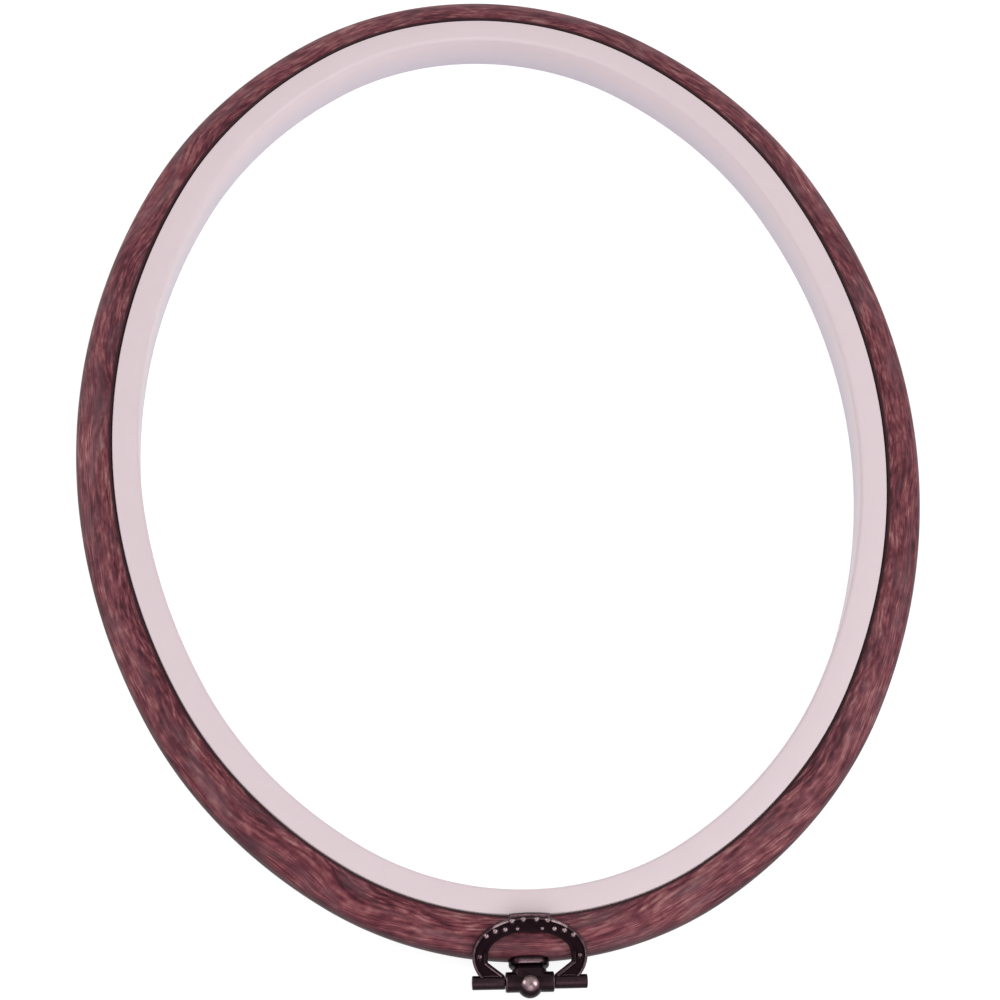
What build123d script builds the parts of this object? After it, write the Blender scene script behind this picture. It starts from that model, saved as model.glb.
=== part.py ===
# Oval embroidery hoop with a hanging bail, lying on its back.
#
# A stiff inner hoop holds the cloth. A soft outer hoop with a rounded section
# pushes down over it and sits on its back flange. A small cast hanger is
# screwed to the outer hoop at one end of the oval: a collar, a post with a
# barrel and a ball, and a beaded bail that swings on a pin through the barrel.
#
# All lengths are in millimetres. +Z is the front of the hoop, and the hanger
# is at the -Y end. The origin is under the middle of the whole object.

from build123d import *
from math import asin, atan2, cos, degrees, hypot, radians, sin
import os

os.makedirs("parts", exist_ok=True)

# The oval: the seam between the two hoops, seen from the front
seam_half_width = 88.0
seam_half_length = 120.0
hoop_depth = 10.0

# The oval is drawn in tangent arcs. Turn of a side's half and of a shoulder, in degrees
side_turn = 26.0
shoulder_turn = 30.0

# Inner hoop
inner_face_width = 6.0
inner_front_edge = 0.7
inner_back_edge = 0.5
seam_edge = 0.3
inner_wall_lean = 0.35
flange_width = 2.2
flange_thickness = 1.2

# Outer hoop
outer_face_width = 8.3
outer_front_flat = 0.8
outer_wall_land = 1.2
outer_corner_radius = 3.0
outer_back_flat = 4.2
seam_gap = 0.2
seat_gap = 0.05

# Hanger axis: how far the bail's pin stands outside the outer hoop's wall
hinge_reach = 4.4

# Collar: the flared foot of the hanger
collar_diameter = 8.5
collar_front_diameter = 7.1
collar_rim_thickness = 0.5
collar_height = 1.35
collar_seat_depth = 0.35
collar_side_gap = 0.15

# Post: waist, neck, barrel and ball, cast in one
waist_width = 6.0
waist_height = 3.2
waist_length = 0.4
neck_width = 7.0
neck_height = 4.0
barrel_diameter = 4.2
barrel_length = 10.0
barrel_edge = 0.25
ball_diameter = 5.3
ball_offset = 0.75

# Pin through the barrel and the bail's knuckles
pin_diameter = 1.5
pin_edge = 0.15
pin_recess = 0.25
pin_gap = 0.03

# Bail: a flat beaded stirrup on two knuckles
bail_half_width = 11.87
bail_length = 14.1
bail_widest_reach = 5.6
bail_foot_half_width = 8.9
bail_thickness = 1.5
bail_edge = 0.25
bail_opening_half_width = 8.6
bail_crown_width = 3.6
bail_cheek_reach = 4.1
knuckle_diameter = 2.9
knuckle_edge = 0.2
knuckle_gap = 0.15
outer_rim_width = 0.55
cheek_rim_width = 0.9
channel_depth = 0.3
bead_diameter = 1.3
bead_height = 0.55
bead_sides = 12
bead_taper = 30.0

# Fixing screw and its washer, sunk in the inner wall of the outer hoop
screw_diameter = 2.2
screw_tip_edge = 0.3
screw_head_diameter = 4.2
screw_head_height = 1.3
screw_head_edge = 0.5
screw_slot_width = 0.6
screw_slot_depth = 0.6
screw_reach = 3.0
screw_gap = 0.05
screw_clearance = 0.2
screw_hole_end_gap = 0.1
washer_diameter = 5.6
washer_thickness = 0.5
recess_depth = 2.6
recess_side_gap = 0.3

# One overrun for every cut
overrun = 1.0

# Places worked out from the sizes above
hanger_reach = hinge_reach + ball_offset + ball_diameter / 2
hoop_centre_y = hanger_reach / 2
middle_height = hoop_depth / 2
seam_end_y = hoop_centre_y - seam_half_length
wall_y = seam_end_y - outer_face_width
hinge_y = wall_y - hinge_reach
round_width = outer_face_width - outer_front_flat
round_height = (hoop_depth - outer_wall_land) / 2
# The round has a corner arc at the wall and a flatter crown arc, tangent to each other
crown_radius = (round_width**2 + round_height**2 - 2 * round_width * outer_corner_radius) / (
    2 * (round_height - outer_corner_radius)
)
corner_turn = degrees(atan2(crown_radius - round_height, round_width - outer_corner_radius))
radial_axis = Axis((0, 0, middle_height), (0, 1, 0))


def closed_outline(*points):
    """Lay straight lines through the points and back to the first."""
    Polyline(*points, close=True)


def arc_radii():
    """Radii of the side, shoulder and end arcs that follow the seam's ellipse."""
    middle = radians(side_turn + shoulder_turn / 2)
    first = radians(side_turn)
    last = radians(side_turn + shoulder_turn)
    reach = hypot(seam_half_width * cos(middle), seam_half_length * sin(middle))
    shoulder = (seam_half_width * seam_half_length) ** 2 / reach**3
    # What the side and end arcs have left to cover, across and along
    across = seam_half_width - shoulder * (cos(first) - cos(last))
    along = seam_half_length - shoulder * (sin(last) - sin(first))
    spread = (1 - cos(first)) * (1 - sin(last)) - cos(last) * sin(first)
    side = (across * (1 - sin(last)) - along * cos(last)) / spread
    end = (along * (1 - cos(first)) - across * sin(first)) / spread
    return side, shoulder, end


side_radius, shoulder_radius, end_radius = arc_radii()
end_turn = 90 - side_turn - shoulder_turn


def oval_path():
    """The seam as eight tangent arcs, from the middle of the side at +X and round."""
    shoulder = (shoulder_radius, shoulder_turn)
    end = (end_radius, 2 * end_turn)
    side = (side_radius, 2 * side_turn)
    with BuildLine() as path:
        arc = JernArc((seam_half_width, hoop_centre_y), (0, 1), side_radius, side_turn)
        for radius, turn in (shoulder, end, shoulder, side, shoulder, end, shoulder):
            arc = JernArc(arc @ 1, arc % 1, radius, turn)
        JernArc(arc @ 1, arc % 1, side_radius, side_turn)
    return path.wire()


# A plane across the rings at the +X end: local x runs outward, local y is up
section_plane = Plane((seam_half_width, hoop_centre_y, 0), x_dir=(1, 0, 0), z_dir=(0, -1, 0))
seam_path = oval_path()


# Inner hoop: a stiff ring with a slightly leaning wall and a back flange
with BuildPart() as inner_hoop:
    with BuildSketch(section_plane) as ring_section:
        with BuildLine():
            closed_outline(
                (-inner_face_width, 0),
                (inner_wall_lean + flange_width, 0),
                (inner_wall_lean + flange_width, flange_thickness),
                (inner_wall_lean, flange_thickness),
                (0, hoop_depth),
                (-inner_face_width, hoop_depth),
            )
        make_face()
        front_corners = ring_section.vertices().group_by(Axis.Y)[-1].sort_by(Axis.X)
        back_corners = ring_section.vertices().group_by(Axis.Y)[0].sort_by(Axis.X)
        chamfer(back_corners[0], inner_back_edge)
        chamfer(front_corners[-1], seam_edge)
        chamfer(front_corners[0], inner_front_edge)
    sweep(path=seam_path)
inner_hoop.part.label = "inner_hoop"


# Outer hoop: a soft ring of D section, rebated at the back for the flange
rebate_width = inner_wall_lean + flange_width + seam_gap
rebate_height = flange_thickness + seat_gap
recess_floor_y = seam_end_y - recess_depth
recess_radius = washer_diameter / 2 + recess_side_gap

with BuildPart() as outer_hoop:
    with BuildSketch(section_plane):
        with BuildLine():
            land_start = (outer_face_width, middle_height - outer_wall_land / 2)
            land_end = (outer_face_width, middle_height + outer_wall_land / 2)
            Line(land_start, land_end)
            corner = JernArc(land_end, (0, 1), outer_corner_radius, corner_turn)
            crown = JernArc(corner @ 1, corner % 1, crown_radius, 90 - corner_turn)
            # The back is bevelled through the mirror image of the arcs' meeting point
            bevel = ((corner @ 1).X, hoop_depth - (corner @ 1).Y)
            Polyline(
                crown @ 1,
                (seam_gap, hoop_depth),
                (seam_gap + inner_wall_lean, 0),
                (outer_back_flat, 0),
                bevel,
                land_start,
            )
        make_face()
        with BuildLine():
            closed_outline(
                (0, -overrun),
                (rebate_width, -overrun),
                (rebate_width, rebate_height),
                (0, rebate_height),
            )
        make_face(mode=Mode.SUBTRACT)
    sweep(path=seam_path)
    # Flat seat for the collar
    with BuildSketch(Plane.XZ.offset(-wall_y - collar_seat_depth)):
        with Locations((0, middle_height)):
            Circle(collar_diameter / 2 + collar_side_gap)
    extrude(amount=collar_seat_depth + overrun, mode=Mode.SUBTRACT)
    # Recess for the washer and the screw head, opening inward
    with BuildSketch(Plane.XZ.offset(-recess_floor_y)):
        with Locations((0, middle_height)):
            Circle(recess_radius)
    extrude(amount=-recess_depth - overrun, mode=Mode.SUBTRACT)
    # Through hole for the screw
    with BuildSketch(Plane.XZ.offset(-recess_floor_y - overrun)):
        with Locations((0, middle_height)):
            Circle(screw_diameter / 2 + screw_clearance)
    extrude(amount=outer_face_width + overrun, mode=Mode.SUBTRACT)
outer_hoop.part.label = "outer_hoop"


# Collar: turned about the screw, its rim against the hoop's seat
collar_back_y = wall_y + collar_seat_depth
collar_front_y = wall_y + collar_seat_depth - collar_height
screw_bore_radius = screw_diameter / 2 + screw_clearance

with BuildPart() as hanger_collar:
    with BuildSketch(Plane.XY.offset(middle_height)):
        with BuildLine():
            closed_outline(
                (collar_front_diameter / 2, collar_front_y),
                (screw_bore_radius, collar_front_y),
                (screw_bore_radius, collar_back_y),
                (collar_diameter / 2, collar_back_y),
                (collar_diameter / 2, collar_back_y - collar_rim_thickness),
            )
        make_face()
    revolve(axis=radial_axis)
hanger_collar.part.label = "hanger_collar"


# Post: waist and neck on the collar, then the barrel and the ball
neck_back_y = collar_front_y - waist_length
screw_tip_y = wall_y - screw_reach

with BuildPart() as hanger_post:
    with BuildSketch(Plane.XZ.offset(-collar_front_y)):
        with Locations((0, middle_height)):
            SlotOverall(waist_width, waist_height)
    extrude(amount=waist_length)
    with BuildSketch(Plane.XZ.offset(-neck_back_y)):
        with Locations((0, middle_height)):
            SlotOverall(neck_width, neck_height)
    extrude(amount=neck_back_y - hinge_y)
    with BuildSketch(Plane.YZ.offset(-barrel_length / 2)):
        with Locations((hinge_y, middle_height)):
            Circle(barrel_diameter / 2)
    extrude(amount=barrel_length)
    barrel_ends = hanger_post.edges().filter_by(GeomType.CIRCLE).group_by(Axis.X)
    chamfer(barrel_ends[0] + barrel_ends[-1], barrel_edge)
    with Locations(Plane((0, hinge_y - ball_offset, middle_height), x_dir=(0, 1, 0), z_dir=(1, 0, 0))):
        Sphere(ball_diameter / 2)
    # Bore for the pin
    with BuildSketch(Plane.YZ.offset(-barrel_length / 2 - overrun)):
        with Locations((hinge_y, middle_height)):
            Circle(pin_diameter / 2 + pin_gap)
    extrude(amount=barrel_length + 2 * overrun, mode=Mode.SUBTRACT)
    # Blind hole for the screw, short of the pin
    with BuildSketch(Plane.XZ.offset(-collar_front_y)):
        with Locations((0, middle_height)):
            Circle(screw_diameter / 2 + screw_gap)
    extrude(amount=collar_front_y - screw_tip_y + screw_hole_end_gap, mode=Mode.SUBTRACT)
hanger_post.part.label = "hanger_post"


# Pin: pressed in the barrel, a running fit in the knuckles
pin_half_length = bail_half_width - pin_recess

with BuildPart() as hinge_pin:
    with BuildSketch(Plane.YZ.offset(-pin_half_length)):
        with Locations((hinge_y, middle_height)):
            Circle(pin_diameter / 2)
    extrude(amount=2 * pin_half_length)
    chamfer(hinge_pin.edges().filter_by(GeomType.CIRCLE), pin_edge)
hinge_pin.part.label = "hinge_pin"


# Bail: at rest its flat back leans on the outer hoop's rounded front
def lean_on_arc(across, above, radius):
    """Lean at which the bail's back touches an arc, its centre given from the pin."""
    return atan2(above, across) + asin((radius + bail_thickness / 2) / hypot(across, above))


half_land = outer_wall_land / 2
bail_angle = max(
    lean_on_arc(hinge_reach + outer_corner_radius, half_land, outer_corner_radius),
    lean_on_arc(hinge_reach + round_width, half_land + round_height - crown_radius, crown_radius),
)
bail_plane = Plane(
    (0, hinge_y, middle_height),
    x_dir=(1, 0, 0),
    z_dir=(0, -sin(bail_angle), cos(bail_angle)),
)
bail_rise = bail_length - bail_widest_reach
opening_rise = bail_rise - bail_crown_width
knuckle_start = barrel_length / 2 + knuckle_gap
knuckle_length = bail_half_width - knuckle_start
knuckle_radius = knuckle_diameter / 2
front_face = bail_plane.offset(bail_thickness / 2)

# Beads, as shares of the bail's half width and of its length
bead_places_shares = [
    (0.115, 0.885),
    (0.310, 0.870),
    (0.215, 0.785),
    (0.425, 0.775),
    (0.600, 0.745),
    (0.750, 0.675),
    (0.865, 0.375),
]


def plate_outline(margin):
    """The bail's outline drawn in by a margin: an arch on two legs that close in."""
    half_width = bail_half_width - margin
    arch = EllipticalCenterArc(
        (0, bail_widest_reach),
        half_width,
        bail_rise - margin,
        start_angle=0,
        arc_size=180,
    )
    for leg_top, side in ((arch @ 0, 1), (arch @ 1, -1)):
        TangentArc(leg_top, (side * (bail_foot_half_width - margin), 0), tangent=(0, -1))
    Line((bail_foot_half_width - margin, 0), (margin - bail_foot_half_width, 0))


def opening_outline(margin):
    """The bail's opening, its slanted cheeks drawn out by a margin and its arch lowered."""
    half_width = bail_opening_half_width + margin
    arch = EllipticalCenterArc(
        (0, bail_widest_reach),
        half_width,
        opening_rise - margin,
        start_angle=0,
        arc_size=180,
    )
    Polyline(
        arch @ 1,
        (-half_width, bail_cheek_reach),
        (-knuckle_start - margin, knuckle_radius),
        (-knuckle_start - margin, -overrun),
        (knuckle_start + margin, -overrun),
        (knuckle_start + margin, knuckle_radius),
        (half_width, bail_cheek_reach),
        arch @ 0,
    )


with BuildPart() as bail:
    with BuildSketch(bail_plane.offset(-bail_thickness / 2)):
        with BuildLine():
            plate_outline(0)
        make_face()
        with BuildLine():
            opening_outline(0)
        make_face(mode=Mode.SUBTRACT)
    extrude(amount=bail_thickness)
    plate_faces = bail.faces().filter_by(Axis((0, 0, 0), bail_plane.z_dir))
    chamfer(plate_faces.edges(), bail_edge)
    # Sunk channel between a thin outer rim and the ridges along the cheeks
    with BuildSketch(front_face):
        with BuildLine():
            plate_outline(outer_rim_width)
        make_face()
        with BuildLine():
            opening_outline(cheek_rim_width)
        make_face(mode=Mode.SUBTRACT)
        with Locations((0, knuckle_radius - bail_length / 2)):
            Rectangle(2 * bail_half_width, bail_length, mode=Mode.SUBTRACT)
    extrude(amount=-channel_depth, mode=Mode.SUBTRACT)
    # Knuckles
    with BuildSketch(Plane.YZ.offset(knuckle_start)):
        with Locations((hinge_y, middle_height)):
            Circle(knuckle_radius)
    extrude(amount=knuckle_length)
    with BuildSketch(Plane.YZ.offset(-knuckle_start)):
        with Locations((hinge_y, middle_height)):
            Circle(knuckle_radius)
    extrude(amount=-knuckle_length)
    knuckle_ends = bail.edges().filter_by(GeomType.CIRCLE).group_by(Axis.X)
    chamfer(knuckle_ends[0] + knuckle_ends[-1], knuckle_edge)
    # Beads, standing on the floor of the channel and higher than the rims
    with BuildSketch(bail_plane.offset(bail_thickness / 2 - channel_depth)):
        for across_share, along_share in bead_places_shares:
            for side in (-1, 1):
                across = side * across_share * bail_half_width
                with Locations((across, along_share * bail_length)):
                    RegularPolygon(bead_diameter / 2, bead_sides)
    extrude(amount=bead_height, taper=bead_taper)
    # Bore for the pin
    with BuildSketch(Plane.YZ.offset(-bail_half_width - overrun)):
        with Locations((hinge_y, middle_height)):
            Circle(pin_diameter / 2 + pin_gap)
    extrude(amount=2 * (bail_half_width + overrun), mode=Mode.SUBTRACT)
bail.part.label = "bail"


# Washer: flat against the floor of the recess
with BuildPart() as screw_washer:
    with BuildSketch(Plane.XZ.offset(-recess_floor_y)):
        with Locations((0, middle_height)):
            Circle(washer_diameter / 2)
            Circle(screw_bore_radius, mode=Mode.SUBTRACT)
    extrude(amount=-washer_thickness)
screw_washer.part.label = "screw_washer"


# Fixing screw: slotted pan head inside the hoop, its tip in the post
head_seat_y = recess_floor_y + washer_thickness
head_top_y = head_seat_y + screw_head_height

with BuildPart() as fixing_screw:
    with BuildSketch(Plane.XY.offset(middle_height)):
        with BuildLine():
            closed_outline(
                (0, head_top_y),
                (0, screw_tip_y),
                (screw_diameter / 2 - screw_tip_edge, screw_tip_y),
                (screw_diameter / 2, screw_tip_y + screw_tip_edge),
                (screw_diameter / 2, head_seat_y),
                (screw_head_diameter / 2, head_seat_y),
                (screw_head_diameter / 2, head_top_y - screw_head_edge),
                (screw_head_diameter / 2 - screw_head_edge, head_top_y),
            )
        make_face()
    revolve(axis=radial_axis)
    with BuildSketch(Plane.XZ.offset(-head_top_y)):
        with Locations((0, middle_height)):
            Rectangle(screw_head_diameter, screw_slot_width)
    extrude(amount=screw_slot_depth, mode=Mode.SUBTRACT)
fixing_screw.part.label = "fixing_screw"


pieces = [
    inner_hoop,
    outer_hoop,
    hanger_collar,
    hanger_post,
    hinge_pin,
    bail,
    screw_washer,
    fixing_screw,
]
for piece in pieces:
    export_step(piece.part, f"parts/{piece.part.label}.step")

print("bail leans at", round(degrees(bail_angle), 3), "degrees above the hoop's plane")
print("hinge at y", round(hinge_y, 3), "z", round(middle_height, 3))
print("hoop centre at y", round(hoop_centre_y, 3), "hanger end of the hoop at y", round(wall_y, 3))
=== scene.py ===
# %% [markdown]
# # An oval embroidery hoop with a hanging bail
#
# A stiff white inner hoop holds the cloth, and a soft outer hoop with a printed
# wood grain is pushed down over it. A small bronze hanger sits at one end of
# the oval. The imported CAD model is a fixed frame: it gives every place and
# size, and the pieces made here are laid exactly where its solids are.
# Everything is in metres. +Z is the front of the hoop, and it lies on its back.

# %% Load the frame
import math

import bmesh
import bpy
from mathutils import Matrix, Vector


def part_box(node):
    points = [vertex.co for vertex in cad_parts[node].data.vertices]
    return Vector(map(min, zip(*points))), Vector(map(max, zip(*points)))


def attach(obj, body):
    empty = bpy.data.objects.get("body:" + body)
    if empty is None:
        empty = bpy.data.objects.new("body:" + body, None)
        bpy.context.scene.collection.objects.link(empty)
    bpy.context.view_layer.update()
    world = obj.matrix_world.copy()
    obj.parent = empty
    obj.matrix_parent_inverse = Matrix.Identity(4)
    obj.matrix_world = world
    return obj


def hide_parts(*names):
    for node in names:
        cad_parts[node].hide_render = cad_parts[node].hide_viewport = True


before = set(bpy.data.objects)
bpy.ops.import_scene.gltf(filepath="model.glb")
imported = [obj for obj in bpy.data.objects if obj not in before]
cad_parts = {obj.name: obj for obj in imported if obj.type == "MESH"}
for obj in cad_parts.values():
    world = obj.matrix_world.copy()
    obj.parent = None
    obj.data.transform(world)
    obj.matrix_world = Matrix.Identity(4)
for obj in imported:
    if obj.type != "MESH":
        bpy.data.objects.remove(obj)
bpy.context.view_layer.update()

mm = 0.001
full_turn = 2 * math.pi
right_angle = math.pi / 2


def in_mm(lengths):
    """Lengths in millimetres, rounded for printing."""
    return [round(length / mm, 2) for length in lengths]


def clamped(value):
    """A value kept between 0 and 1."""
    return min(1, max(0, value))


# %% [markdown]
# ## The oval that both hoops follow
#
# The seam between the two hoops is an oval of eight tangent arcs: two sides,
# four shoulders and two ends. An ellipse would look almost the same, but a
# strip of constant width beside an ellipse isn't an ellipse, while beside an
# arc it is an arc. So each point is found from the way the oval faces there,
# and a step sideways along that direction keeps the hoop's width true.

# %% The oval's sizes
seam_half_width = 88.0 * mm
seam_half_length = 120.0 * mm
outer_width = 8.3 * mm
side_turn = math.radians(26)
shoulder_turn = math.radians(30)
side_radius = 156.647 * mm
shoulder_radius = 102.053 * mm
end_radius = 67.041 * mm

hoop_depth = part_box("outer_hoop")[1].z
inner_low, inner_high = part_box("inner_hoop")
hoop_centre = Vector((0, (inner_low.y + inner_high.y) / 2, 0))
middle_height = hoop_depth / 2
wall_y = hoop_centre.y - seam_half_length - outer_width
print("hoop centre y and depth in mm:", in_mm((hoop_centre.y, hoop_depth)))


# %% One quarter of the oval as three arcs
def facing_at(turn):
    """The outward direction at an angle round the oval."""
    return Vector((math.cos(turn), math.sin(turn), 0))


arc_starts = [0, side_turn, side_turn + shoulder_turn, right_angle]
arc_radii = [side_radius, shoulder_radius, end_radius]
arc_centres = [Vector((seam_half_width - side_radius, 0, 0))]
arc_runs = [0]
for index in (1, 2):
    step = (arc_radii[index - 1] - arc_radii[index]) * facing_at(arc_starts[index])
    arc_centres.append(arc_centres[-1] + step)
for index in (0, 1, 2):
    arc_runs.append(arc_runs[-1] + arc_radii[index] * (arc_starts[index + 1] - arc_starts[index]))
quarter_run = arc_runs[-1]
run_radius = 4 * quarter_run / full_turn
print("length of the seam in mm:", round(4 * quarter_run / mm, 1))


def seam_place(turn):
    """Point of the seam where it faces an angle, and its share of the way round."""
    facing = facing_at(turn)
    folded = math.atan2(abs(facing.y), abs(facing.x))
    index = 0 if folded < arc_starts[1] else 1 if folded < arc_starts[2] else 2
    point = arc_centres[index] + arc_radii[index] * facing_at(folded)
    run = arc_runs[index] + arc_radii[index] * (folded - arc_starts[index])
    quarter = int(turn % full_turn / right_angle)
    share = (quarter + (1 - run / quarter_run if quarter % 2 else run / quarter_run)) / 4
    point.x = math.copysign(point.x, facing.x)
    point.y = math.copysign(point.y, facing.y)
    return hoop_centre + point, share


# %% [markdown]
# ## Helpers for drawing sections and finishing meshes
#
# A turned or swept piece starts as a section: a few corner points joined in a
# face, some of them rounded with a vertex bevel. The face is then dropped and
# its rim of edges is spun. The same few helpers serve every piece, so that
# each one is cleaned, named, shaded and put on its body in the same way.

# %% Drawing a section
def draw_section(mesh, points, rounds=()):
    """Join points (x, z) in a ring of edges, rounding some corners by (index, reach, parts)."""
    corners = [mesh.verts.new((x, 0, z)) for x, z in points]
    face = mesh.faces.new(corners)
    for index, reach, parts in rounds:
        bmesh.ops.bevel(
            mesh,
            geom=[corners[index]],
            offset=reach,
            offset_type="OFFSET",
            segments=parts,
            profile=0.5,
            affect="VERTICES",
            material=-1,
        )
    bmesh.ops.delete(mesh, geom=mesh.faces[:], context="FACES_ONLY")
    return mesh


def arc_points(centre, radius, start, turn, parts):
    """Points (x, z) along an arc, ends included."""
    angles = [start + turn * part / parts for part in range(parts + 1)]
    return [(centre[0] + radius * math.cos(a), centre[1] + radius * math.sin(a)) for a in angles]


def spin(mesh, axis, centre, steps, angle=full_turn):
    """Spin everything in the mesh about an axis; a full turn closes on itself."""
    bmesh.ops.spin(
        mesh,
        geom=mesh.verts[:] + mesh.edges[:] + mesh.faces[:],
        cent=centre,
        axis=axis,
        dvec=(0, 0, 0),
        angle=angle,
        steps=steps,
        use_merge=angle == full_turn,
    )
    return mesh


# %% Finishing a mesh as a piece
def close_up(mesh, gap=1e-7):
    """Merge doubles and point every face outwards."""
    bmesh.ops.remove_doubles(mesh, verts=mesh.verts[:], dist=gap)
    bmesh.ops.recalc_face_normals(mesh, faces=mesh.faces[:])
    return mesh


def to_object(mesh, name):
    """A bmesh as a linked object at the origin."""
    data = bpy.data.meshes.new(name)
    close_up(mesh).to_mesh(data)
    mesh.free()
    piece = bpy.data.objects.new(name, data)
    bpy.context.scene.collection.objects.link(piece)
    return piece


def combine(piece, other, operation):
    """Join or cut a piece with another one, which is then removed."""
    modifier = piece.modifiers.new(operation.lower(), "BOOLEAN")
    modifier.object = other
    modifier.operation = operation
    modifier.solver = "EXACT"
    shaped = piece.evaluated_get(bpy.context.evaluated_depsgraph_get())
    data = bpy.data.meshes.new_from_object(shaped)
    piece.modifiers.clear()
    before, piece.data = piece.data, data
    bpy.data.meshes.remove(before)
    bpy.data.meshes.remove(other.data)
    data.name = piece.name


def settle(piece, material, body, node, crease=35):
    """Shade, paint and place a finished piece, and let it stand for its CAD node."""
    piece.data.shade_smooth()
    piece.data.set_sharp_from_angle(angle=math.radians(crease))
    piece.data.materials.clear()
    piece.data.materials.append(material)
    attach(piece, body)
    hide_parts(node)
    size = in_mm(piece.dimensions)
    print(f"{piece.name}: {len(piece.data.polygons)} faces, {size} mm, for {node}")


# %% [markdown]
# ## The camera
#
# The four edges of the rings in the photograph were fitted to a camera with
# perspective: it looks down at 57.5 degrees from close by, and is rolled a
# little, which is why the oval leans. The shift only frames the picture.

# %% Place the camera
azimuth = math.radians(-8.2963)
elevation = math.radians(57.5018)
roll = math.radians(6.6943)
camera_distance = 672.43 * mm
camera_lens = 104.886
camera_shift = (0.00153, -0.05202)

view_back = Vector(
    (
        math.sin(azimuth) * math.cos(elevation),
        -math.cos(azimuth) * math.cos(elevation),
        math.sin(elevation),
    )
)
level_right = facing_at(azimuth)
level_up = view_back.cross(level_right)
view_right = math.cos(roll) * level_right + math.sin(roll) * level_up
view_up = math.cos(roll) * level_up - math.sin(roll) * level_right

camera = bpy.data.objects.new("camera", bpy.data.cameras.new("camera"))
camera.data.lens = camera_lens
camera.data.shift_x, camera.data.shift_y = camera_shift
place = hoop_centre + camera_distance * view_back
columns = Matrix((view_right, view_up, view_back)).transposed()
camera.matrix_world = Matrix.Translation(place) @ columns.to_4x4()
bpy.context.scene.collection.objects.link(camera)
bpy.context.scene.camera = camera
bpy.context.scene.view_settings.view_transform = "Standard"
print("camera at", [round(v, 4) for v in place])

# %% [markdown]
# ## Floor, world and lamps
#
# The photograph has a pure white ground. White from strong lamps would wash
# the hoop out, so the ground's white is a colour that only the camera and
# mirror-like rays see. Part of the floor stays a plain diffuse surface, which
# keeps a soft shadow under the rings. Two soft boxes stand to the camera's left
# and right, each placed so that the hanger's ball mirrors it where the
# photograph has a highlight. A larger one in front reaches the inner hoop's
# far wall.

# %% Small helpers for node trees
def link(tree, *pairs):
    """Link output sockets to input sockets."""
    for output, target in pairs:
        tree.links.new(output, target)


def add_node(tree, kind, inputs=None, **settings):
    """Add a node, set its properties, then fill or link its inputs by name or number."""
    node = tree.nodes.new(kind)
    for name, value in settings.items():
        setattr(node, name, value)
    for name, value in (inputs or {}).items():
        if isinstance(value, bpy.types.NodeSocket):
            tree.links.new(value, node.inputs[name])
        else:
            node.inputs[name].default_value = value
    return node


def add_math(tree, operation, *values, clamp=False):
    """A Math node on sockets or numbers, returning its output."""
    node = add_node(tree, "ShaderNodeMath", dict(enumerate(values)), operation=operation)
    node.use_clamp = clamp
    return node.outputs[0]


def spread(tree, value, low, high, to_low=0.0, to_high=1.0):
    """A value stretched from between two limits to between two others."""
    return add_node(
        tree,
        "ShaderNodeMapRange",
        {"Value": value, "From Min": low, "From Max": high, "To Min": to_low, "To Max": to_high},
    ).outputs[0]


def grey(level):
    """A grey as a linear colour."""
    return (level, level, level, 1)


def seen_directly(tree):
    """1 for rays of the camera, mirrors and glass, and 0 for all others."""
    path = add_node(tree, "ShaderNodeLightPath").outputs
    mirrored = add_math(tree, "MAXIMUM", path["Is Glossy Ray"], path["Is Transmission Ray"])
    return add_math(tree, "MAXIMUM", path["Is Camera Ray"], mirrored)


# %% World and floor
world = bpy.data.worlds.new("studio")
world.use_nodes = True
bpy.context.scene.world = world
sky_level = 0.4
sky = world.node_tree
sky_strength = spread(sky, seen_directly(sky), 0.0, 1.0, sky_level, 1.0)
link(sky, (sky_strength, sky.nodes["Background"].inputs["Strength"]))
sky.nodes["Background"].inputs["Color"].default_value = grey(1)

floor_paint = bpy.data.materials.new("pale_floor")
floor_paint.use_nodes = True
ground = floor_paint.node_tree
ground.nodes.clear()
plain = add_node(ground, "ShaderNodeBsdfDiffuse", {"Color": grey(0.9)})
faint = add_node(ground, "ShaderNodeBsdfDiffuse", {"Color": grey(0.3)})
glow = add_node(ground, "ShaderNodeEmission", {"Color": grey(1), "Strength": 0.88})
bright = add_node(ground, "ShaderNodeAddShader", {0: faint.outputs[0], 1: glow.outputs[0]})
chosen = add_node(
    ground,
    "ShaderNodeMixShader",
    {0: seen_directly(ground), 1: plain.outputs[0], 2: bright.outputs[0]},
)
add_node(ground, "ShaderNodeOutputMaterial", {"Surface": chosen.outputs[0]})

floor_half = 3
sheet = bmesh.new()
bmesh.ops.create_grid(sheet, x_segments=1, y_segments=1, size=floor_half)
floor = to_object(sheet, "floor")
floor.data.materials.append(floor_paint)
print("floor", [round(v, 2) for v in floor.dimensions])


# %% Three soft boxes
def add_soft_box(name, direction, distance, side, power):
    """A square lamp in a direction from the hanger, turned towards it."""
    lamp = bpy.data.objects.new(name, bpy.data.lights.new(name, "AREA"))
    lamp.data.size = side
    lamp.data.energy = power
    hanger = Vector((0, wall_y, middle_height))
    lamp.matrix_world = Matrix.Translation(hanger + distance * direction) @ (
        direction.to_track_quat("Z", "Y").to_matrix().to_4x4()
    )
    bpy.context.scene.collection.objects.link(lamp)
    print(name, "at", [round(v, 2) for v in lamp.matrix_world.translation])


def mirrored_at(across, upward):
    """The direction that a ball mirrors at a place given in the camera's own directions."""
    tilt = Vector((across, upward, math.sqrt(1 - across**2 - upward**2)))
    normal = tilt.x * view_right + tilt.y * view_up + tilt.z * view_back
    return 2 * normal.dot(view_back) * normal - view_back


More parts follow.
